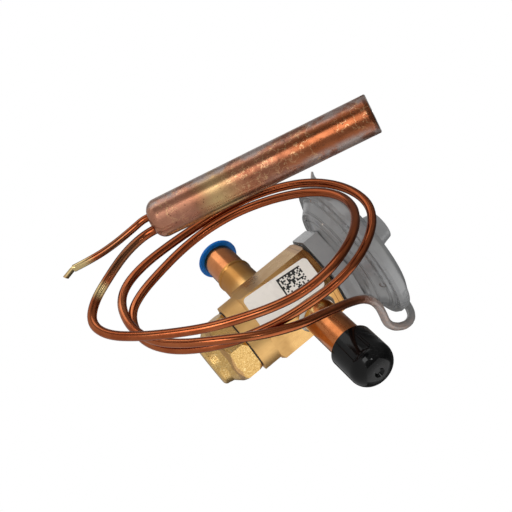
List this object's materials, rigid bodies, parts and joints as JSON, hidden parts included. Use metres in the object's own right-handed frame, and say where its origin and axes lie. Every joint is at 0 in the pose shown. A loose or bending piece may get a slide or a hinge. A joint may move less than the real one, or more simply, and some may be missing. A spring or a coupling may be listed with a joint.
{
  "type": "thermostatic expansion valve",
  "caption": "Refrigerant expansion valve with a hexagonal brass body, domed power element, coiled capillary and copper sensing bulb.",
  "frame": {"origin": "centre of the inlet stub's open end, on the stub's axis", "axes": "+X from the inlet to the outlet, +Z along the valve stem from the seal cap to the power element"},
  "size_m": [0.0918, 0.1044, 0.1083],
  "materials": {
    "body_brass": "machined, satin",
    "cap_brass": "turned, bright",
    "stub_copper": "drawn copper, bright",
    "capillary_copper": "drawn copper, slightly tarnished",
    "bulb_copper": "tarnished copper, satin",
    "braze_silver": "brazed, uneven",
    "element_grey": "sprayed, semi-gloss",
    "plug_blue": "moulded",
    "vinyl_black": "dipped vinyl, glossy",
    "label_white": "printed film, bare",
    "gasket_dark": "fibre and rubber seals",
    "inner_steel": "ground"
  },
  "bodies": {
    "root": {"valve_body": "body_brass", "inlet_tube": "stub_copper", "outlet_tube": "stub_copper", "outlet_braze_ring": "braze_silver", "body_label": "label_white", "packing_nut": "cap_brass", "stem_packing": "gasket_dark", "orifice_seat": "inner_steel", "rod_seal": "gasket_dark", "head_gasket": "gasket_dark", "element_collar": "element_grey", "lower_casing": "element_grey", "diaphragm": "inner_steel", "upper_casing": "element_grey", "capillary_boss": "element_grey", "capillary_tube": "capillary_copper", "bulb_shell": "bulb_copper", "bulb_end_disc": "bulb_copper", "bulb_fill_tube": "capillary_copper"},
    "inlet_plug": {"inlet_plug": "plug_blue"},
    "outlet_cap": {"outlet_cap": "vinyl_black"},
    "cap_gasket": {"cap_gasket": "gasket_dark"},
    "seal_cap": {"seal_cap": "cap_brass"},
    "stem": {"adjusting_stem": "inner_steel"},
    "guide": {"spring_guide": "cap_brass", "superheat_spring": "inner_steel"},
    "valve_train": {"pin_carrier": "cap_brass", "valve_pin": "inner_steel", "push_rod": "inner_steel", "buffer_plate": "inner_steel"}
  },
  "joints": [
    {"name": "inlet_plug_pull", "type": "slide", "parent": "root", "child": "inlet_plug", "axis": [-1, 0, 0], "range_m": [0, 0.05]},
    {"name": "outlet_cap_pull", "type": "slide", "parent": "root", "child": "outlet_cap", "axis": [1, 0, 0], "range_m": [0, 0.05]},
    {"name": "seal_cap_lift", "type": "slide", "parent": "root", "child": "cap_gasket", "axis": [0, 0, -1], "range_m": [0, 0.0061]},
    {"name": "seal_cap_turn", "type": "hinge", "parent": "cap_gasket", "child": "seal_cap", "pos_m": [0.04, 0, -0.0215], "axis": [0, 0, -1], "range_deg": [0, 2160]},
    {"name": "stem_turn", "type": "hinge", "parent": "root", "child": "stem", "pos_m": [0.04, 0, -0.0165], "axis": [0, 0, 1], "range_deg": [-540, 540]},
    {"name": "guide_travel", "type": "slide", "parent": "root", "child": "guide", "axis": [0, 0, 1], "range_m": [-0.0012, 0.0012], "deforming": ["superheat_spring"]},
    {"name": "valve_stroke", "type": "slide", "parent": "root", "child": "valve_train", "axis": [0, 0, -1], "range_m": [0, 0.0008], "stiffness_N_per_m": 2000, "springref_m": -0.001, "deforming": ["superheat_spring", "diaphragm"]}
  ],
  "couplings": [
    {"joint": "seal_cap_lift", "follows": "seal_cap_turn", "m_per_rad": 0.00015915},
    {"joint": "stem_turn", "follows": "guide_travel", "rad_per_m": 7854}
  ]
}
